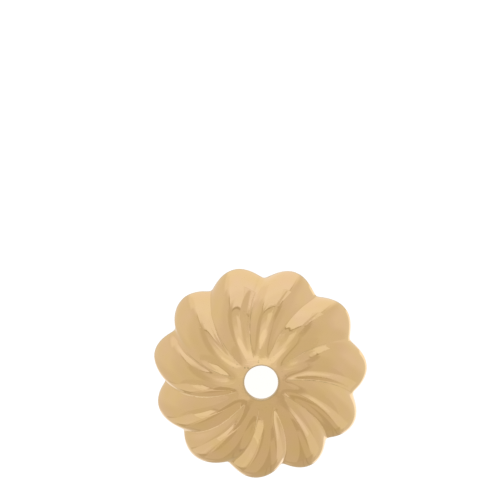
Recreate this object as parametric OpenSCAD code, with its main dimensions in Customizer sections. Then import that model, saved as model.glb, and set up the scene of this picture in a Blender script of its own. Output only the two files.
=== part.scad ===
// Bead cap: one stamped sheet, domed and drawn into swirled petals round a pin hole.
// It stands on its rim with the domed side up. The origin is on the hole's axis in the plane
// of the rim, +Z points out of the dome, and the tip of one petal lies on +X. Millimetres.

/* [Cap] */
// Width across the circle that the petal tips touch
cap_d = 10; // [8:0.5:14]
// Height from the rim to the top of the collar
cap_h = 2.7; // [2:0.1:3.2]
// Thickness of the sheet
sheet = 0.2; // [0.14:0.02:0.3]
// Angle below level at which a petal's crest leaves the collar
crown_angle = 6; // [3:1:14]
// Angle of a crest at the rim, when the height is the one given above
rim_angle = 81; // [60:1:84]
// How late a crest steepens on its way out: 1 is an even arc, more is later
arch_lag = 1.55; // [1:0.05:2]

/* [Hole and collar] */
// Diameter of the hole that a head pin or eye pin goes through
hole_d = 1.6; // [0.8:0.1:1.8]
// Diameter of the flat collar round the hole
collar_d = 2.3; // [2.1:0.1:3]

/* [Petals] */
// Number of petals
petals = 11; // [7:1:13]
// How far the notch between two petals reaches in from the tip circle
notch_depth = 0.5; // [0.2:0.02:0.6]
// Rounding at the bottom of a crease, as a share of its depth
crease_round = 0.14; // [0.04:0.01:0.2]
// How soon the creases deepen beyond the collar, from 0.3 at once to 1 evenly
crease_onset = 0.85; // [0.4:0.05:1]
// Angle that a crease turns back through on its way from the collar to the rim
swirl = 17; // [0:0.5:35]
// Where the swirl happens: 1 is even, and more puts it nearer the rim
swirl_lag = 1.4; // [1:0.1:2]
// How much flatter a petal's back is half way out, and how much narrower the creases are there
back_flat = 0.32; // [0:0.02:0.4]

/* [Facets] */
// Steps round one petal
petal_steps = 14; // [8:2:16]
// Steps along a petal from collar to rim
crest_steps = 16; // [10:1:18]

/* [Hidden] */
tip_r = cap_d / 2;
collar_r = collar_d / 2;
hole_r = hole_d / 2;
// The sheet is modelled a little inside the hole's wall, and the hole is then drilled
drill_share = 0.8;
blank_r = hole_r * drill_share;
around = petals * petal_steps;
// Points at which a crest's slope is summed up to give its run and its fall
slope_sums = 16;
// Share of the way out where the petals start to widen sideways instead of sinking inwards
widen_from = 0.56;
widen_power = 1.3;
// How closely the two skins meet the rim's plane at right angles, as a power of the way out
rim_square = 5;
// Step in s and u over which a skin's normal is measured
probe = 0.002;
// How much closer together the steps across a petal lie towards the creases
crease_crowd = 0.12;
// Facets of the hole's wall
bore_facets = 96;

// s is the share of the way along the crest, 0 at the collar and 1 at the rim.
// u is the place across the petals in petal widths: whole on a crest, half way in a crease.
function crest_slope(s) = crown_angle + (rim_angle - crown_angle) * pow(s, arch_lag);
function slopes_to(s) = [for (i = [0.5:slope_sums - 0.5]) crest_slope(s * i / slope_sums)];
function total(values) = values * [for (v = values) 1];
function run_to(s) = s * total([for (slope = slopes_to(s)) cos(slope)]);
function fall_to(s) = s * total([for (slope = slopes_to(s)) sin(slope)]);
full_run = run_to(1);
full_fall = fall_to(1);
function crest_r(s) = collar_r + (tip_r - collar_r) * run_to(s) / full_run;
function crest_z(s) = cap_h * (1 - fall_to(s) / full_fall);

// Place across a petal, drawn towards its crest half way out so that the back is flatter there
function flattened(s, u) = u - back_flat * 4 * s * (1 - s) * sin(360 * u) / (2 * PI);

// Depth below the crest: 0 on it and 1 at the bottom of the crease, which is rounded
function crease_form(u) =
    let (top_len = norm([1, crease_round]))
    (top_len - norm([cos(180 * u), crease_round])) / (top_len - crease_round);

function crease_depth(s) = notch_depth * pow(s, crease_onset);

// Direction in which the creases sink: square to the dome at first, and level at the rim
function sink_angle(s) =
    let (widen = pow(max(0, s - widen_from) / (1 - widen_from), widen_power), slope = crest_slope(s))
    slope + (90 - slope) * widen;

function turn(s) = swirl - swirl * pow((crest_r(s) - collar_r) / (tip_r - collar_r), swirl_lag);

// A point of the outer skin
function outer_skin(s, u) =
    let (
        sink = crease_depth(s) * crease_form(flattened(s, u)),
        r = crest_r(s) - sink * sin(sink_angle(s)),
        z = crest_z(s) - sink * cos(sink_angle(s)),
        a = 360 / petals * u + turn(s)
    )
    [r * cos(a), r * sin(a), z];

function unit(v) = v / norm(v);

// The outer skin's normal, pointing out of the dome
function skin_normal(s, u) =
    let (s0 = max(s - probe, probe / 2), s1 = min(s0 + 2 * probe, 1))
    unit(cross(
        outer_skin(s1, u) - outer_skin(s0, u),
        outer_skin((s0 + s1) / 2, u + probe) - outer_skin((s0 + s1) / 2, u - probe)
    ));

// A point of the inner skin, one sheet in from the outer one and in the rim's plane at the end
function inner_skin(s, u) =
    let (
        n = skin_normal(s, u),
        level = unit([n.x, n.y, 0]),
        w = unit(n + (level - n) * pow(s, rim_square))
    )
    outer_skin(s, u) - w * sheet / (w * n);

// Steps across a petal lie closer together towards the creases
function spread(i) =
    let (u = i / petal_steps)
    u + crease_crowd * sin(360 * u) / PI;

function flat_ring(r, z) = [
    for (i = [0:around - 1])
        let (a = 360 / petals * spread(i) + turn(0))
        [r * cos(a), r * sin(a), z]
];

function outer_ring(s) = [for (i = [0:around - 1]) outer_skin(s, spread(i))];
function inner_ring(s) = [for (i = [0:around - 1]) inner_skin(s, spread(i))];

module sheet_blank() {
    rings = concat(
        [flat_ring(blank_r, crest_z(0)), flat_ring(collar_r, crest_z(0))],
        [for (j = [1:crest_steps]) outer_ring(j / crest_steps)],
        [for (j = [crest_steps:-1:1]) inner_ring(j / crest_steps)],
        [flat_ring(collar_r, crest_z(0) - sheet), flat_ring(blank_r, crest_z(0) - sheet)]
    );
    count = len(rings);
    corners = [for (ring = rings, p = ring) p];
    faces = [
        for (j = [0:count - 1], i = [0:around - 1])
            let (k = (j + 1) % count, m = (i + 1) % around)
            each [
                [j * around + i, k * around + i, k * around + m],
                [j * around + i, k * around + m, j * around + m]
            ]
    ];
    polyhedron(points = corners, faces = faces, convexity = 6);
}

module bead_cap() {
    color("goldenrod")
    difference() {
        sheet_blank();
        translate([0, 0, cap_h - 2 * sheet])
            cylinder(h = 3 * sheet, r = hole_r, $fn = bore_facets);
    }
}

bead_cap();
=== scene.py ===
# A bead cap: one swirled flower of gold-plated sheet, domed side up on a pale floor.
# The cap is modelled in millimetres and brought down to metres once it is finished.
import bpy
import bmesh
from math import atan2, cos, hypot, pi, radians, sin, tan
from mathutils import Matrix, Vector


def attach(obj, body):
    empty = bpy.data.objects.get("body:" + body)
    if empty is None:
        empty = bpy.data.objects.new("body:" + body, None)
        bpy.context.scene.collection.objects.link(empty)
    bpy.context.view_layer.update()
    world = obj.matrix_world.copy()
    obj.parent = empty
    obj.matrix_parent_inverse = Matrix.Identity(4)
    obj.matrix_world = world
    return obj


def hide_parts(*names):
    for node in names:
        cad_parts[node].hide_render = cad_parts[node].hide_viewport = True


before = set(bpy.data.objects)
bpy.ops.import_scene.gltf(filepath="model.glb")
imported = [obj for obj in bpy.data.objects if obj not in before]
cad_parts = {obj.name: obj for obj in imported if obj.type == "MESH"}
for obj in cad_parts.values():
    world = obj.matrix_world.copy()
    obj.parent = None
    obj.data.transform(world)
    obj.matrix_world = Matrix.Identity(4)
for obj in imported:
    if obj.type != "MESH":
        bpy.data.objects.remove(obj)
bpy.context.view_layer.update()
print("frame loaded")

scene = bpy.context.scene
millimetre = 0.001

# the photograph's right-hand side looks along this direction of the frame, in degrees
photoRight = -4.9


def deselectAll():
    if bpy.context.object and bpy.context.object.mode != "OBJECT":
        bpy.ops.object.mode_set(mode="OBJECT")
    bpy.ops.object.select_all(action="DESELECT")


def selectVerts(piece, wanted):
    # vertices by number; the edges and faces follow
    mesh = bmesh.from_edit_mesh(piece.data)
    bpy.ops.mesh.select_all(action="DESELECT")
    mesh.verts.ensure_lookup_table()
    for number in wanted:
        mesh.verts[number].select = True
    mesh.select_flush_mode()


def selectedVerts(piece):
    return [(v.index, v.co.copy()) for v in bmesh.from_edit_mesh(piece.data).verts if v.select]


def applyModifier(piece, kind, **settings):
    modifier = piece.modifiers.new(kind.title(), kind)
    for name, value in settings.items():
        setattr(modifier, name, value)
    bpy.ops.object.modifier_apply(modifier=modifier.name)


# The cap. Lengths in millimetres and angles in degrees.
cap = {
    "acrossTips": 10.0,      # width over the circle that the petal tips touch
    "height": 2.7,           # rim to the top of the collar
    "sheet": 0.2,            # thickness of the brass
    "hole": 1.57,            # diameter
    "holeShift": (0.07, 0.02),  # the punch sits a little off the middle, seen as in the photograph
    "collarRise": 0.045,     # how far the collar still climbs towards the hole
    "collar": 2.3,           # diameter of the ring round the hole
    "collarRows": (0.2, 0.6, 1),  # where the collar's mesh rows lie, from the hole to the petals
    "petals": 11,
    "crownSlope": 6.0,       # where a crest leaves the collar
    "rimSlope": 81.0,        # where it meets the rim
    "archLag": 1.55,         # 1 bends evenly, more bends nearer the rim
    "archParts": 24,         # points at which a crest's slope is summed up
    "notch": 0.5,            # how far a notch reaches in from the tips
    "creaseRound": 0.14,     # rounding at the bottom of a crease, share of its depth
    "creaseOnset": 0.85,     # how soon the creases deepen
    "backFlat": 0.32,        # flatter petal backs half way out
    "swirl": 17.0,           # how far a crease turns back on its way out
    "swirlLag": 1.4,         # 1 turns evenly, more turns nearer the rim
    "widenFrom": 0.56,       # share of the way out where the petals start to widen
    "widenPower": 1.3,
    "stepsAcross": 20,       # mesh steps across one petal
    "crowding": 0.28,        # how closely the steps gather in the creases
    "stepsOut": 28,          # rows from the collar to the rim
    "overrun": 3,            # rows drawn past the rim and trimmed off
    "turnFull": 0.12,        # share of the way out from which a petal is fully turned its own way
    "sharedFrom": 0.3,       # petal widths off a crest where the next petal starts to count
    "creaseFrom": 0.49,      # petal widths off a crest from which a vertex lies in the crease
    "grooveEnd": 0.25,       # strength of a crease's line at the rim, against 1 at the collar
    "trimWithin": 0.00001,   # how near the rim's plane counts as on it
    "weldWithin": 0.0005,    # vertices closer together than this become one
    "edgeRound": 0.03,       # rounding of the cut edges
    "edgeSteps": 2,
    "edgeAngle": 50.0,       # folds sharper than this are rounded, and shaded as edges
}
holeRadius, collarRadius, tipRadius = cap["hole"] / 2, cap["collar"] / 2, cap["acrossTips"] / 2
rowsInCollar = len(cap["collarRows"])
meshAround = cap["petals"] * cap["stepsAcross"]  # vertices in one ring
punchedAt = Matrix.Rotation(radians(photoRight), 2) @ Vector(cap["holeShift"])


def crestSlope(s):
    return radians(cap["crownSlope"] + (cap["rimSlope"] - cap["crownSlope"]) * s ** cap["archLag"])


def travelled(part, s):
    # how far the crest has run (cos) or fallen (sin) by s, summed up along it
    parts = cap["archParts"]
    return s * sum(part(crestSlope(s * (n + 0.5) / parts)) for n in range(parts)) / parts


def crestPlace(s):
    # radius and height on a petal's crest
    run, fall = travelled(cos, s) / travelled(cos, 1), travelled(sin, s) / travelled(sin, 1)
    return collarRadius + (tipRadius - collarRadius) * run, cap["height"] * (1 - fall)


def skinPlace(s, u, deeper=0.0, rounder=0.0, late=0.0):
    # radius and height of the outer skin, s out from the collar and u petal widths off a crest
    radius, height = crestPlace(s)
    # 4 s (1 - s) is 1 half way out and 0 at both ends
    flat = u - (cap["backFlat"] - rounder) * 4 * s * (1 - s) * sin(2 * pi * u) / (2 * pi)
    top = hypot(1, cap["creaseRound"])
    form = (top - hypot(cos(pi * flat), cap["creaseRound"])) / (top - cap["creaseRound"])
    onset = max(0, s - late) / (1 - late)
    sink = cap["notch"] * (1 + deeper) * onset ** cap["creaseOnset"] * form
    widen = min(1, max(0, (s - cap["widenFrom"]) / (1 - cap["widenFrom"]))) ** cap["widenPower"]
    lean = crestSlope(s) + (pi / 2 - crestSlope(s)) * widen
    return radius - sink * sin(lean), height - sink * cos(lean)


def turnAt(s):
    out = (crestPlace(s)[0] - collarRadius) / (tipRadius - collarRadius)
    return radians(cap["swirl"]) * (1 - out ** cap["swirlLag"])


def crowded(step):
    # place across a petal, in petal widths, with the steps closer together in the creases
    u = step / cap["stepsAcross"]
    return u + cap["crowding"] * sin(2 * pi * u) / pi


# the steps across one petal, each with its place
halfPetal = cap["stepsAcross"] // 2
aroundPetal = {step: crowded(step) for step in range(-halfPetal + 1, halfPetal + 1)}


def petalsRound(place, turned):
    # how many petal widths round from the first crest a point lies
    return (atan2(place.y, place.x) - turned) / (2 * pi) * cap["petals"]


def stepOf(place, turned, table):
    # which step across its petal a vertex of the ring is
    u = petalsRound(place, turned)
    u -= round(u)
    return min(table, key=lambda step: min(abs(table[step] - u), abs(table[step] - u - 1)))


def sortRing(piece, turned, table):
    groups = {}
    for number, place in selectedVerts(piece):
        groups.setdefault(stepOf(place, turned, table), []).append(number)
    return groups


def turnRing(angle):
    # transform.rotate turns clockwise without a window
    bpy.ops.transform.rotate(value=-angle, orient_axis="Z", center_override=(0, 0, 0))


def growRing(scale, rise):
    bpy.ops.transform.resize(value=(scale, scale, 1), center_override=(0, 0, 0))
    bpy.ops.transform.translate(value=(0, 0, rise))


def drawSheet():
    # the outer skin, drawn ring by ring from the hole's edge
    deselectAll()
    bpy.ops.mesh.primitive_circle_add(vertices=meshAround, radius=holeRadius,
                                      location=(0, 0, cap["height"] + cap["collarRise"]))
    piece = bpy.context.object
    piece.name = "goldCap"
    bpy.ops.object.transform_apply(location=True, rotation=True, scale=True)
    bpy.ops.object.mode_set(mode="EDIT")
    bpy.ops.mesh.select_mode(type="VERT")
    bpy.ops.mesh.select_all(action="SELECT")

    # the steps gather towards the creases, and the whole ring starts turned
    even = {step: step / cap["stepsAcross"] for step in aroundPetal}
    for step, members in sortRing(piece, 0, even).items():
        selectVerts(piece, members)
        turnRing((aroundPetal[step] - even[step]) * 2 * pi / cap["petals"])
    bpy.ops.mesh.select_all(action="SELECT")
    turnRing(turnAt(0))

    # the collar, which falls a little from the hole to where the petals start
    radius, collarWidth = holeRadius, collarRadius - holeRadius
    for share in cap["collarRows"]:
        wider = holeRadius + collarWidth * share
        bpy.ops.mesh.extrude_edges_move()
        growRing(wider / radius, -cap["collarRise"] * (wider - radius) / collarWidth)
        radius = wider

    # the petals: each ring is drawn out, turned, and pressed in towards the creases
    for row in range(1, cap["stepsOut"] + cap["overrun"] + 1):
        s, before = row / cap["stepsOut"], (row - 1) / cap["stepsOut"]
        bpy.ops.mesh.extrude_edges_move()
        turnRing(turnAt(s) - turnAt(before))
        ring = sortRing(piece, turnAt(s), aroundPetal)
        for step in range(halfPetal + 1):
            members = ring[step] + (ring[-step] if 0 < step < halfPetal else [])
            selectVerts(piece, members)
            wasRadius, wasHeight = skinPlace(before, aroundPetal[step])
            newRadius, newHeight = skinPlace(s, aroundPetal[step])
            growRing(newRadius / wasRadius, newHeight - wasHeight)
        selectVerts(piece, [number for members in ring.values() for number in members])
    # an open sheet has no inside, so its faces are turned to look out of the dome
    bpy.ops.mesh.select_all(action="SELECT")
    bpy.ops.mesh.normals_make_consistent(inside=False)
    bpy.ops.object.mode_set(mode="OBJECT")
    if sum(face.normal.z * face.area for face in piece.data.polygons) < 0:
        bpy.ops.object.mode_set(mode="EDIT")
        bpy.ops.mesh.flip_normals()
        bpy.ops.object.mode_set(mode="OBJECT")
    return piece


# No two petals are pressed quite alike. One row for each, counter-clockwise from the one on +X:
# degrees that it is turned, share by which its creases are deeper, degrees that it leans, how
# much rounder its back is, millimetres that it bulges half way out, share of the way out before
# its creases start, and the line in the crease after it, cut in and darkened with painted shade,
# or raised and brightened with a painted highlight where the number is below 0.
petalChanges = [
    # turned, deeper, leaning, rounder, bulging, late, groove
    (-1.2, 0.06, -2.2, 0.09, -0.07, 0.00, 0.8),
    (-0.4, 0.04, -1.6, 0.00, -0.06, 0.00, 0.6),
    (0.3, 0.09, 1.4, 0.11, 0.09, 0.00, 1.0),
    (1.0, 0.06, -3.7, 0.20, 0.00, 0.00, 0.8),
    (0.7, 0.05, -1.4, -0.09, 0.00, 0.00, 1.0),
    (0.0, 0.16, 0.3, 0.14, 0.05, 0.00, -1.3),
    (-1.3, 0.18, 0.4, 0.04, -0.03, 0.00, -0.7),
    (-1.2, 0.03, -2.0, -0.09, -0.02, 0.03, 0.7),
    (0.3, 0.09, -0.3, 0.02, -0.06, 0.05, 0.6),
    (-0.5, 0.23, 0.1, -0.02, -0.08, 0.04, 0.9),
    (-0.9, 0.12, -1.2, -0.04, -0.08, 0.00, 1.2),
]


def petalPlace(petal, s, u):
    # where one petal's own pressing puts a point of the skin
    turned, deeper, leaning, rounder, bulging, late = petalChanges[petal % cap["petals"]][:-1]
    fading = min(1, s / cap["turnFull"])
    radius, height = skinPlace(s, u, deeper, rounder, late)
    height += tan(radians(leaning)) * (radius - collarRadius) * u * 2 * pi / cap["petals"]
    height += bulging * sin(pi * min(s, 1))
    angle = 2 * pi / cap["petals"] * (petal + u) + turnAt(s) + radians(turned) * fading
    return Vector((radius * cos(angle), radius * sin(angle), height))


def markCreases(piece):
    # the die leaves a fine line down every crease, strongest at its inner end; the same mark sets
    # the painted shade or painted highlight along it
    marks = piece.data.attributes.new("crease", "FLOAT", "POINT")
    for vertex, mark in zip(piece.data.vertices, marks.data):
        row = vertex.index // meshAround - rowsInCollar
        if row >= 1:
            s = row / cap["stepsOut"]
            place = petalsRound(vertex.co, turnAt(s))
            if abs(place - round(place)) > cap["creaseFrom"]:
                before = petalChanges[round(place - 0.5) % cap["petals"]]
                mark.value = max(cap["grooveEnd"], 1 - s) * before[-1]


def pressPetals(piece):
    # every petal takes its own shape, and neighbours share the crease between them
    for vertex in piece.data.vertices:
        row = vertex.index // meshAround - rowsInCollar
        if row < 1:
            # the collar's inner rows follow the punched hole
            vertex.co += Vector((*punchedAt, 0)) * (-row / rowsInCollar)
            continue
        s = row / cap["stepsOut"]
        place = petalsRound(vertex.co, turnAt(s))
        petal = round(place)
        u = place - petal
        beside = 1 if u > 0 else -1
        shared = min(1, max(0, (abs(u) - cap["sharedFrom"]) / (0.5 - cap["sharedFrom"])))
        shared = shared * shared * (3 - 2 * shared) / 2  # eased, and half for each in the crease
        vertex.co = (petalPlace(petal, s, u) * (1 - shared)
                     + petalPlace(petal + beside, s, u - beside) * shared)


def giveThickness(piece):
    sharp = radians(cap["edgeAngle"])
    # a smoother skin, and a second one a sheet's thickness inside it
    applyModifier(piece, "SUBSURF", levels=1, render_levels=1)
    applyModifier(piece, "SOLIDIFY", thickness=cap["sheet"], offset=-1, use_even_offset=True)
    # trimmed flat at the rim's plane, and the cut closed from skin to skin
    bpy.ops.object.mode_set(mode="EDIT")
    bpy.ops.mesh.select_all(action="SELECT")
    bpy.ops.mesh.bisect(plane_co=(0, 0, 0), plane_no=(0, 0, 1), clear_inner=True,
                        threshold=cap["trimWithin"])
    bpy.ops.mesh.select_all(action="DESELECT")
    bpy.ops.mesh.select_non_manifold()
    bpy.ops.mesh.bridge_edge_loops()
    bpy.ops.mesh.select_all(action="SELECT")
    bpy.ops.mesh.remove_doubles(threshold=cap["weldWithin"])
    bpy.ops.mesh.normals_make_consistent(inside=False)
    bpy.ops.object.mode_set(mode="OBJECT")
    applyModifier(piece, "BEVEL", width=cap["edgeRound"], segments=cap["edgeSteps"],
                  limit_method="ANGLE", angle_limit=sharp, use_clamp_overlap=False)
    piece.scale = (millimetre,) * 3
    bpy.ops.object.transform_apply(location=True, rotation=True, scale=True)
    bpy.ops.object.shade_smooth_by_angle(angle=sharp)


goldCap = drawSheet()
markCreases(goldCap)
pressPetals(goldCap)
print("petals drawn:", len(goldCap.data.vertices), "vertices")
giveThickness(goldCap)
print("sheet closed:", len(goldCap.data.polygons), "faces")


def feed(tree, socket, value):
    # a socket takes a number, a colour or what another node gives
    if isinstance(value, (int, float)):
        socket.default_value = value
    elif isinstance(value, tuple):
        socket.default_value = (*value, 1)
    else:
        tree.links.new(value, socket)


def mathNode(tree, operation, *values):
    node = tree.nodes.new("ShaderNodeMath")
    node.operation = operation
    for socket, value in zip(node.inputs, values):
        feed(tree, socket, value)
    return node.outputs[0]


# Gold plate: polished and warm, a little wavy from the stamping, with fine marks and pits. The
# underside is duller, and mottled in a band along the rim where the sheet was drawn furthest.
# Pattern sizes are in millimetres, and heights in thousandths of one. A name that ends in Where
# holds the two values of the noise between which a look sets in.
goldPlate = {
    "colour": (0.800, 0.546, 0.262),
    "rosy": (0.807, 0.542, 0.282),
    "yellow": (0.793, 0.549, 0.240),
    "grazing": (1.0, 0.93, 0.80),   # tint of what is mirrored at a low angle
    "blotch": 1.1,           # size of the colour's slow changes
    "rosyWhere": (0.5, 0.68),
    "yellowWhere": (0.5, 0.32),
    "roughness": (0.012, 0.05),   # of the polish and of its duller patches
    "haze": 0.45,            # size of the duller patches
    "hazeWhere": (0.35, 0.7),
    "waveSize": 0.9,
    "waveHeight": 2.0,
    "rippleSize": 0.16,
    "rippleHeight": 0.9,
    "grainSize": 0.05,
    "grainHeight": 0.25,
    "scratchWays": ((25, 0.0), (-64, 0.3)),  # direction in degrees and shift of each set
    "scratchTilt": (0.3, -0.2),   # radians by which both sets lean out of the level
    "scratchLength": 1.4,
    "scratchWidth": 0.018,
    "scratchNoise": 6,       # size of the noise they are cut from, in widths
    "scratchEdge": 0.02,     # how far from its middle value the noise still draws one
    "scratchHeight": 0.5,
    "scratchAreas": 0.8,     # size of the areas that have any
    "scratchWhere": (0.5, 0.62),
    "pitSpacing": 0.4,
    "pitRadius": 0.022,
    "pitShare": 0.8,         # share of the places that have one
    "pitHeight": 9.0,
    "spotCore": 0.4,         # share of a pit's or speck's radius that is at full strength
    "speckSpacing": 0.17,    # dark specks left by the punch, mostly on the collar's far side
    "speckRadius": 0.055,
    "speckShare": 0.4,
    "speckReach": (1.2, 1.5),     # radius at which they thin out, and at which they end
    "speckSide": 0.8,        # how far towards the far side they reach their full strength
    "speckFew": 0.2,         # share of that strength on the near side
    "grooveDepth": 14.0,
    "grooveShadeFrom": (0.2, 0.65),  # share of its depth from which a groove takes painted shade, and fully so
    # painted shade in the creases, also the colour of the dark specks
    "grooveShadeAndSpeckTint": (0.50, 0.37, 0.16),
    "grooveShadeStrength": 0.8,       # how much of that painted shade it takes
    "grooveGaps": 0.5,       # size of the stretches where a groove is fainter
    "gapWhere": (0.4, 0.55),
    "gapLeft": 0.2,          # what is left of a groove in them
    "ridgeHighlightFrom": (-0.12, -0.5),    # share from which a raised one takes a painted highlight, and fully so
    "ridgeHighlightTint": (0.96, 0.72, 0.40),
    "edgeFrom": 0.025,       # the hole's edge is dull and dark as far as this from its wall
    "edgeFade": 0.05,
    "rimShadeShare": 0.8,         # how much painted shade the rim's foot has, for the contact shadow that it mirrors, fading out upwards
    "rimShadeFade": 0.22,
    # the dark of the hole's dull edge, and the painted shade at the rim's foot
    "edgeAndRimShadeTint": (0.60, 0.44, 0.235),
    "edgeRoughness": 0.15,
    "undersideRoughness": 0.10,
    "mottleReach": (3.0, 4.2),    # radius at which the mottled band starts, and is full
    "mottleSize": 0.22,
    "mottleHeight": 14.0,
}


def markAt(tree, name):
    # one of the marks that the piece carries on its vertices
    node = tree.nodes.new("ShaderNodeAttribute")
    node.attribute_name = name
    return node.outputs["Fac"]


def splitAt(tree, vector):
    node = tree.nodes.new("ShaderNodeSeparateXYZ")
    tree.links.new(vector, node.inputs[0])
    return node.outputs["X"], node.outputs["Y"], node.outputs["Z"]


def noiseAt(tree, place, size, detail=2.0, roughness=0.5, distortion=0.0):
    node = tree.nodes.new("ShaderNodeTexNoise")
    tree.links.new(place, node.inputs["Vector"])
    node.inputs["Scale"].default_value = 1 / (size * millimetre)
    node.inputs["Detail"].default_value = detail
    node.inputs["Roughness"].default_value = roughness
    node.inputs["Distortion"].default_value = distortion
    return node.outputs["Fac"]


def spread(tree, value, low, high, toLow=0.0, toHigh=1.0, curve="LINEAR"):
    # a value between low and high becomes one between toLow and toHigh, and stays within them
    node = tree.nodes.new("ShaderNodeMapRange")
    node.interpolation_type = curve
    tree.links.new(value, node.inputs["Value"])
    limits = {"From Min": low, "From Max": high, "To Min": toLow, "To Max": toHigh}
    for name, limit in limits.items():
        node.inputs[name].default_value = limit
    return node.outputs["Result"]


def byRadius(tree, radius, reach, toLow, toHigh):
    # a look that changes between two radii, in millimetres
    nearest, farthest = (edge * millimetre for edge in reach)
    return spread(tree, radius, nearest, farthest, toLow, toHigh)


def blendColours(tree, factor, first, second, way="MIX"):
    node = tree.nodes.new("ShaderNodeMix")
    node.data_type = "RGBA"
    node.blend_type = way
    tree.links.new(factor, node.inputs["Factor"])
    # a Mix node keeps its colour sockets after those for numbers and vectors
    feed(tree, node.inputs[6], first)
    feed(tree, node.inputs[7], second)
    return node.outputs[2]


def bumpOn(tree, height, thousandths, normal=None, strength=None):
    node = tree.nodes.new("ShaderNodeBump")
    tree.links.new(height, node.inputs["Height"])
    node.inputs["Distance"].default_value = thousandths * millimetre / 1000
    if strength is not None:
        tree.links.new(strength, node.inputs["Strength"])
    if normal is not None:
        tree.links.new(normal, node.inputs["Normal"])
    return node.outputs["Normal"]


def scratchesAt(tree, place, turn, shift):
    # fine lines: noise pulled out along one direction and kept only where it crosses its middle
    mapping = tree.nodes.new("ShaderNodeMapping")
    tree.links.new(place, mapping.inputs["Vector"])
    mapping.inputs["Rotation"].default_value = (*goldPlate["scratchTilt"], radians(turn))
    mapping.inputs["Location"].default_value = (shift, shift, 0)
    stretch = goldPlate["scratchWidth"] / goldPlate["scratchLength"]
    mapping.inputs["Scale"].default_value = (stretch, 1, 1)
    size = goldPlate["scratchWidth"] * goldPlate["scratchNoise"]
    lines = noiseAt(tree, mapping.outputs["Vector"], size, detail=1.0)
    offMiddle = mathNode(tree, "ABSOLUTE", mathNode(tree, "SUBTRACT", lines, 0.5))
    return spread(tree, offMiddle, 0.0, goldPlate["scratchEdge"], 1.0, 0.0)


def spotsAt(tree, place, spacing, radius, share):
    # round spots scattered over the surface, in a share of their places
    cells = tree.nodes.new("ShaderNodeTexVoronoi")
    tree.links.new(place, cells.inputs["Vector"])
    cells.inputs["Scale"].default_value = 1 / (spacing * millimetre)
    reach = radius / spacing
    core = reach * goldPlate["spotCore"]
    spots = spread(tree, cells.outputs["Distance"], core, reach, 1.0, 0.0)
    lot = splitAt(tree, cells.outputs["Color"])[0]
    return mathNode(tree, "MULTIPLY", spots, mathNode(tree, "LESS_THAN", lot, share))


def specksAt(tree, place, radius, farSide):
    # only near the hole, and weaker on the near side
    specks = spotsAt(tree, place, goldPlate["speckSpacing"], goldPlate["speckRadius"],
                     goldPlate["speckShare"])
    specks = mathNode(tree, "MULTIPLY", specks,
                      byRadius(tree, radius, goldPlate["speckReach"], 1.0, 0.0))
    oneSide = spread(tree, farSide, 0.0, goldPlate["speckSide"] * millimetre,
                     goldPlate["speckFew"], 1.0)
    return mathNode(tree, "MULTIPLY", specks, oneSide)


def grooveAt(tree, place):
    # the line in each crease, fainter in places
    gaps = noiseAt(tree, place, goldPlate["grooveGaps"], detail=4.0, roughness=0.75)
    left = spread(tree, gaps, *goldPlate["gapWhere"], goldPlate["gapLeft"], 1.0)
    return mathNode(tree, "MULTIPLY", markAt(tree, "crease"), left)


def plateColour(tree, place, edge, groove, specks):
    # slow changes between a rosier and a yellower gold, and over them the dull dark hole edge,
    # dark specks, painted shade at the rim's foot and in cut-in crease lines, and painted
    # highlights on raised ones
    blotch = noiseAt(tree, place, goldPlate["blotch"], detail=3.0)
    rosier = spread(tree, blotch, *goldPlate["rosyWhere"])
    yellower = spread(tree, blotch, *goldPlate["yellowWhere"])
    # painted shade darkens the bottom of each cut-in crease line
    sunkShade = spread(tree, groove, *goldPlate["grooveShadeFrom"], 0.0, goldPlate["grooveShadeStrength"])
    # a painted highlight brightens each raised crease line
    raised = spread(tree, groove, *goldPlate["ridgeHighlightFrom"])
    layers = ((rosier, "rosy"), (yellower, "yellow"), (edge, "edgeAndRimShadeTint"),
              (sunkShade, "grooveShadeAndSpeckTint"), (raised, "ridgeHighlightTint"), (specks, "grooveShadeAndSpeckTint"))
    colour = goldPlate["colour"]
    for share, tint in layers:
        colour = blendColours(tree, share, colour, goldPlate[tint])
    return colour


def plateRoughness(tree, place, edge, underside):
    # polish with duller patches, and the underside and the cut edges duller still
    haze = noiseAt(tree, place, goldPlate["haze"], detail=4.0, roughness=0.6)
    dull = spread(tree, haze, *goldPlate["hazeWhere"], *goldPlate["roughness"])
    dull = mathNode(tree, "MULTIPLY_ADD", underside, goldPlate["undersideRoughness"], dull)
    return mathNode(tree, "MULTIPLY_ADD", edge, goldPlate["edgeRoughness"], dull)


def plateRelief(tree, place, groove, band):
    # from the slow waves of the stamping down to the pits, then the mottled band and the creases
    waves = noiseAt(tree, place, goldPlate["waveSize"], detail=1.0)
    normal = bumpOn(tree, waves, goldPlate["waveHeight"])
    ripple = noiseAt(tree, place, goldPlate["rippleSize"], detail=1.0)
    normal = bumpOn(tree, ripple, goldPlate["rippleHeight"], normal)
    grain = noiseAt(tree, place, goldPlate["grainSize"])
    normal = bumpOn(tree, grain, goldPlate["grainHeight"], normal)
    lines = mathNode(tree, "MAXIMUM",
                     *(scratchesAt(tree, place, *way) for way in goldPlate["scratchWays"]))
    scratched = noiseAt(tree, place, goldPlate["scratchAreas"])
    scratched = spread(tree, scratched, *goldPlate["scratchWhere"])
    lines = mathNode(tree, "MULTIPLY", lines, scratched)
    normal = bumpOn(tree, lines, -goldPlate["scratchHeight"], normal)
    pits = spotsAt(tree, place, goldPlate["pitSpacing"], goldPlate["pitRadius"],
                   goldPlate["pitShare"])
    normal = bumpOn(tree, pits, -goldPlate["pitHeight"], normal)
    mottle = noiseAt(tree, place, goldPlate["mottleSize"], detail=3.0, roughness=0.55,
                     distortion=0.4)
    normal = bumpOn(tree, mottle, goldPlate["mottleHeight"], normal, strength=band)
    return bumpOn(tree, groove, -goldPlate["grooveDepth"], normal)


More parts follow.
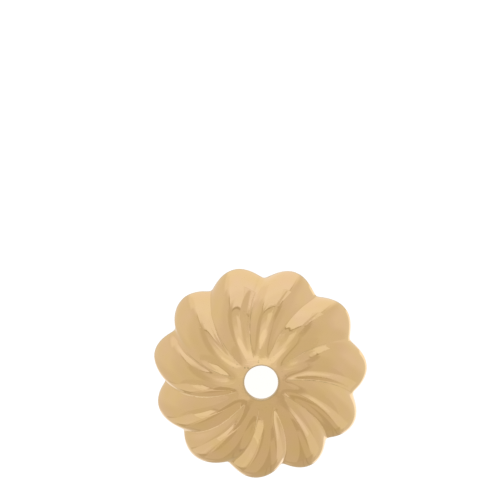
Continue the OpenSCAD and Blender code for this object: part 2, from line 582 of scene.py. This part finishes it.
def makeGoldPlate():
    material = bpy.data.materials.new("polishedGoldPlate")
    material.use_nodes = True
    tree = material.node_tree
    place = tree.nodes.new("ShaderNodeTexCoord").outputs["Object"]
    x, y = splitAt(tree, place)[:2]
    squares = (mathNode(tree, "POWER", side, 2) for side in (x, y))
    radius = mathNode(tree, "SQRT", mathNode(tree, "ADD", *squares))
    # the hole's dull edge, and painted shade at the foot of the rim
    edge = markAt(tree, "cutEdgeAndRimShade")
    underside = markAt(tree, "underside")
    groove = grooveAt(tree, place)
    specks = specksAt(tree, place, radius, y)
    band = byRadius(tree, radius, goldPlate["mottleReach"], 0.0, 1.0)
    band = mathNode(tree, "MULTIPLY", band, underside)
    looks = {
        "Base Color": plateColour(tree, place, edge, groove, specks),
        "Roughness": plateRoughness(tree, place, edge, underside),
        "Normal": plateRelief(tree, place, groove, band),
    }
    shader = tree.nodes["Principled BSDF"]
    shader.inputs["Metallic"].default_value = 1
    shader.inputs["Specular Tint"].default_value = (*goldPlate["grazing"], 1)
    for name, look in looks.items():
        tree.links.new(look, shader.inputs[name])
    return material


def markCutEdgesAndRimShade(piece):
    # 1 on the punched wall of the hole, and as painted shade at the foot of the rim for the
    # contact shadow that it mirrors, fading out beside them
    marks = piece.data.attributes.new("cutEdgeAndRimShade", "FLOAT", "POINT")
    for vertex, mark in zip(piece.data.vertices, marks.data):
        x, y, z = vertex.co / millimetre
        beyond = hypot(x - punchedAt.x, y - punchedAt.y) - holeRadius - goldPlate["edgeFrom"]
        mark.value = max(0.0, 1 - max(0, beyond) / goldPlate["edgeFade"],
                         goldPlate["rimShadeShare"] * (1 - z / goldPlate["rimShadeFade"]))


def markUnderside(piece):
    # 1 on the skin that looks towards a point under the dome, 0 on the domed side
    centre = Vector((0, 0, -cap["height"] * millimetre))
    marks = piece.data.attributes.new("underside", "FLOAT", "POINT")
    for vertex, mark in zip(piece.data.vertices, marks.data):
        mark.value = 1.0 if vertex.normal.dot(vertex.co - centre) < 0 else 0.0


markUnderside(goldCap)
markCutEdgesAndRimShade(goldCap)
goldCap.data.materials.clear()
goldCap.data.materials.append(makeGoldPlate())
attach(goldCap, "root")
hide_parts("bead_cap")
# the petals mirror the studio and not each other
goldCap.visible_glossy = False
print("gold plate laid on")


# The floor, which glows softly like a lit table and so takes almost no shadow
floorLook = {
    "size": 600.0,           # millimetres
    "colour": (0.2, 0.2, 0.2),
    "roughness": 0.9,
    "glow": 0.92,
}


def makeFloor():
    deselectAll()
    bpy.ops.mesh.primitive_plane_add(size=floorLook["size"] * millimetre)
    floor = bpy.context.object
    floor.name = "paleFloor"
    material = bpy.data.materials.new("palePaper")
    material.use_nodes = True
    shader = material.node_tree.nodes["Principled BSDF"]
    shader.inputs["Base Color"].default_value = (*floorLook["colour"], 1)
    shader.inputs["Roughness"].default_value = floorLook["roughness"]
    shader.inputs["Emission Color"].default_value = (1, 1, 1, 1)
    shader.inputs["Emission Strength"].default_value = floorLook["glow"]
    floor.data.materials.append(material)
    floor.visible_glossy = False  # the gold mirrors the studio alone
    return floor


makeFloor()
print("floor laid")

# The studio: a plain bright room, and the soft boxes and dark flags that the gold mirrors.
# Directions are in the photograph's frame: 0 degrees is its right-hand side, 90 its top, and
# height is degrees above the floor. Each row gives the lower height with the two directions
# between which it lies there, the same at its upper height, and how soft its edge is. A box
# then has how much darker a line along its edge is, and how bright it is, and later boxes lie
# over earlier ones. A tint multiplies the colour of all that is mirrored from there.
studio = {
    "ambient": 1.0,          # the plain light that falls on all that isn't a mirror
    "room": 0.82,            # brightness of the room between the boxes
    "dim": (0.6, (1.0, 0.935, 0.83)),        # brightness and tint of the dull parts
    "bright": (1.05, (1.0, 1.042, 1.205)),   # and of the soft boxes
    "boxes": [
        # name, low, from, to, high, from, to, soft, rim, bright
        ("overhead", 61, 40, 166, 82, 1, 230, 11, 0.00, 0.93),
        ("column", 42, 77, 95, 71, 47, 83, 4, 0.00, 0.95),
        ("skylight", 72, 24, 161, 88, 32, 180, 5, 0.00, 1.05),
        ("rightWall", 30, 333, 409, 70, 321, 419, 23, 0.00, 0.77),
        ("leftWall", 25, 154, 206, 78, 153, 207, 22, 0.00, 0.80),
        ("lowRoom", -80, 123, 192, 10, 133, 189, 25, 0.00, 0.88),
        ("lowRight", -99, 305, 412, 5, 361, 391, 25, 0.00, 0.89),
        ("front", -81, 234, 284, 71, 252, 351, 3, 0.00, 0.72),
        ("frontDark", -85, 248, 290, 49, 285, 302, 3, 0.00, 0.62),
        ("keyFrame", -60, 52, 113, 49, 76, 129, 4, 0.00, 0.78),
        ("keyLine", -60, 55, 109, 40, 53, 124, 2, 0.00, 0.55),
        ("key", -84, 58, 106, 37, 56, 121, 3, 0.00, 0.99),
        ("keyFoot", -93, 44, 131, 11, 58, 121, 14, 0.00, 1.03),
        ("flagLeft", 31, 48, 59, 54, 28, 53, 8, 0.00, 0.66),
        ("flagRight", 29, 105, 131, 67, 139, 182, 16, 0.00, 0.71),
        ("sideFrame", -36, 236, 247, 68, 173, 225, 4, 0.00, 0.75),
        ("sideLine", -43, 221, 245, 54, 208, 233, 2, 0.00, 0.64),
        ("side", -43, 224, 242, 27, 209, 236, 4, 0.00, 0.87),
        ("sideTop", 26, 212, 237, 51, 211, 230, 5, 0.06, 0.99),
        ("farFrame", -21, 315, 297, 65, 296, 383, 4, 0.00, 0.76),
        ("farLine", -32, 290, 300, 64, 307, 315, 2, 0.00, 0.60),
        ("far", -32, 293, 318, 62, 310, 331, 4, 0.00, 0.88),
        ("farTop", 21, 309, 316, 50, 309, 324, 4, 0.00, 0.97),
        ("slit", -59, 245, 233, 47, 241, 254, 2, 0.00, 0.65),
        ("slitFar", -36, 291, 301, 36, 280, 297, 4, 0.00, 0.72),
        ("hoodLeft", 47, 237, 248, 67, 226, 258, 3, 0.00, 0.62),
        ("hoodRight", 57, 293, 397, 68, 299, 299, 7, 0.00, 0.64),
        ("keyLobe", 2, 48, 73, 26, 54, 64, 2, 0.10, 0.98),
        ("keyCord", 4, 60, 63, 50, 60, 73, 3, 0.00, 0.79),
        ("keyLeft", -42, 118, 129, -8, 117, 132, 8, 0.00, 0.97),
        ("ridge", 29, 219, 232, 54, 252, 253, 2, 0.00, 0.93),
        ("crease", -29, 236, 238, 14, 229, 234, 2, 0.00, 0.90),
        ("farDark", -39, 234, 293, -17, 283, 302, 5, 0.00, 0.64),
        ("frontPit", -39, 234, 241, -19, 239, 243, 4, 0.00, 0.60),
        ("blade", -66, 279, 281, -16, 279, 280, 2, 0.00, 0.55),
        ("bladeFar", -66, 287, 289, -16, 286, 288, 2, 0.00, 0.54),
        ("floorRight", -95, 290, 372, -54, 292, 378, 5, 0.00, 1.20),
        ("floorLeft", -95, 218, 255, -54, 218, 255, 5, 0.00, 0.98),
        ("limb", -95, -180, 180, -77, -180, 180, 6, 0.00, 0.55),
    ],
    "tints": [
        # name, low, from, to, high, from, to, soft, tint
        ("warmFront", 5, 232, 300, 64, 228, 306, 20, (1.005, 0.992, 0.968)),
        ("warmTop", 72, 20, 150, 95, 20, 150, 14, (1.004, 0.994, 0.965)),
        ("warmKeyFoot", -95, 44, 128, -12, 44, 128, 20, (1.006, 0.988, 0.960)),
        ("coolKey", 24, 58, 122, 54, 58, 122, 16, (0.998, 1.003, 1.017)),
        ("coolLow", -54, 165, 375, -24, 165, 375, 18, (0.995, 1.003, 1.022)),
        ("warmFloor", -95, 190, 385, -56, 190, 385, 12, (1.015, 0.968, 0.860)),
    ],
}


def softStep(tree, value, edge, soft):
    # 0 below the edge and 1 above it
    return spread(tree, value, edge - soft / 2, edge + soft / 2, curve="SMOOTHSTEP")


def boxMask(tree, around, height, box, soft):
    # 1 inside a box of the studio and 0 outside it; its sides run straight from low to high
    low, lowFrom, lowTo, high, highFrom, highTo = box
    middle = (lowFrom + lowTo + highFrom + highTo) / 4
    here = mathNode(tree, "WRAP", mathNode(tree, "SUBTRACT", around, middle), 180, -180)
    leftSlope, rightSlope = (highFrom - lowFrom) / (high - low), (highTo - lowTo) / (high - low)
    left = mathNode(tree, "SUBTRACT", here, mathNode(tree, "MULTIPLY", height, leftSlope))
    right = mathNode(tree, "SUBTRACT", here, mathNode(tree, "MULTIPLY", height, rightSlope))
    mask = softStep(tree, left, lowFrom - middle - leftSlope * low, soft)
    beyond = softStep(tree, right, lowTo - middle - rightSlope * low, soft)
    mask = mathNode(tree, "MULTIPLY", mask, mathNode(tree, "SUBTRACT", 1, beyond))
    mask = mathNode(tree, "MULTIPLY", mask, softStep(tree, height, low, soft))
    above = softStep(tree, height, high, soft)
    return mathNode(tree, "MULTIPLY", mask, mathNode(tree, "SUBTRACT", 1, above))


def mirroredLight(tree, around, height):
    # how bright the studio is in each direction
    light = studio["room"]
    for name, *box, soft, rim, bright in studio["boxes"]:
        mask = boxMask(tree, around, height, box, soft)
        mix = tree.nodes.new("ShaderNodeMix")
        mix.label = name
        tree.links.new(mask, mix.inputs["Factor"])
        feed(tree, mix.inputs["A"], light)
        mix.inputs["B"].default_value = bright
        light = mix.outputs["Result"]
        if rim:
            # mask (1 - mask) is a quarter at most, half way across the soft edge
            edge = mathNode(tree, "MULTIPLY", mask, mathNode(tree, "SUBTRACT", 1, mask))
            shade = mathNode(tree, "SUBTRACT", 1, mathNode(tree, "MULTIPLY", edge, 4 * rim))
            light = mathNode(tree, "MULTIPLY", light, shade)
    return light


def mirroredTint(tree, light, around, height):
    # the dull parts are warmer and the bright ones cooler, apart from a few directions
    (dimmest, dimTint), (brightest, brightTint) = studio["dim"], studio["bright"]
    tint = blendColours(tree, spread(tree, light, dimmest, brightest), dimTint, brightTint)
    for name, *box, soft, colour in studio["tints"]:
        mask = boxMask(tree, around, height, box, soft)
        tint = blendColours(tree, mask, tint, colour, "MULTIPLY")
        tint.node.label = name
    return tint


def makeStudio():
    world = bpy.data.worlds.new("studio")
    scene.world = world
    world.use_nodes = True
    tree = world.node_tree
    plain = tree.nodes["Background"]
    plain.inputs["Color"].default_value = (1, 1, 1, 1)
    plain.inputs["Strength"].default_value = studio["ambient"]
    x, y, z = splitAt(tree, tree.nodes.new("ShaderNodeTexCoord").outputs["Generated"])
    around = mathNode(tree, "DEGREES", mathNode(tree, "ARCTAN2", y, x))
    around = mathNode(tree, "SUBTRACT", around, photoRight)
    height = mathNode(tree, "DEGREES", mathNode(tree, "ARCSINE", z))
    mirrored = tree.nodes.new("ShaderNodeBackground")
    light = mirroredLight(tree, around, height)
    tree.links.new(light, mirrored.inputs["Strength"])
    tree.links.new(mirroredTint(tree, light, around, height), mirrored.inputs["Color"])
    # polished things see the boxes, and all else gets the plain light
    path = tree.nodes.new("ShaderNodeLightPath")
    chooser = tree.nodes.new("ShaderNodeMixShader")
    tree.links.new(path.outputs["Is Glossy Ray"], chooser.inputs[0])
    tree.links.new(plain.outputs[0], chooser.inputs[1])
    tree.links.new(mirrored.outputs[0], chooser.inputs[2])
    tree.links.new(chooser.outputs[0], tree.nodes["World Output"].inputs["Surface"])


makeStudio()

# The camera: it leans towards the photograph's top and aims at the middle of its frame
camera = {
    "lens": 170.0,
    "sensor": 36.0,
    "clip": (0.01, 10),             # metres
    "picture": 500,                 # pixels each way
    "pixelsPerMillimetre": 21.46,   # at the cap
    "lean": 10.0,                   # degrees off upright, seen from the cap
    "capAt": (259.8, 372.6),        # pixel where the middle of the rim's plane lies
}


def makeCamera():
    data = bpy.data.cameras.new("studioCamera")
    holder = bpy.data.objects.new("studioCamera", data)
    scene.collection.objects.link(holder)
    scene.camera = holder
    data.lens = camera["lens"]
    data.sensor_width = camera["sensor"]
    data.clip_start, data.clip_end = camera["clip"]
    focal = camera["lens"] / camera["sensor"] * camera["picture"]  # in pixels
    distance = focal / camera["pixelsPerMillimetre"] * millimetre
    right = radians(photoRight)
    lean = radians(camera["lean"])
    # the line of sight from the cap to the camera
    sight = Vector((-sin(right) * sin(lean), cos(right) * sin(lean), cos(lean)))
    sideways = Vector((cos(right), sin(right), 0))
    upwards = sight.cross(sideways)
    across, down = ((pixel - camera["picture"] / 2) / focal for pixel in camera["capAt"])
    # the camera's own axes, turned so that the cap lies off the middle of the picture
    back = (sight + upwards * -down + sideways * across).normalized()
    xAxis = upwards.cross(back).normalized()
    yAxis = back.cross(xAxis)
    holder.matrix_world = (Matrix.Translation(sight * distance)
                           @ Matrix((xAxis, yAxis, back)).transposed().to_4x4())


makeCamera()
scene.view_settings.view_transform = "Standard"
print("camera and studio set")
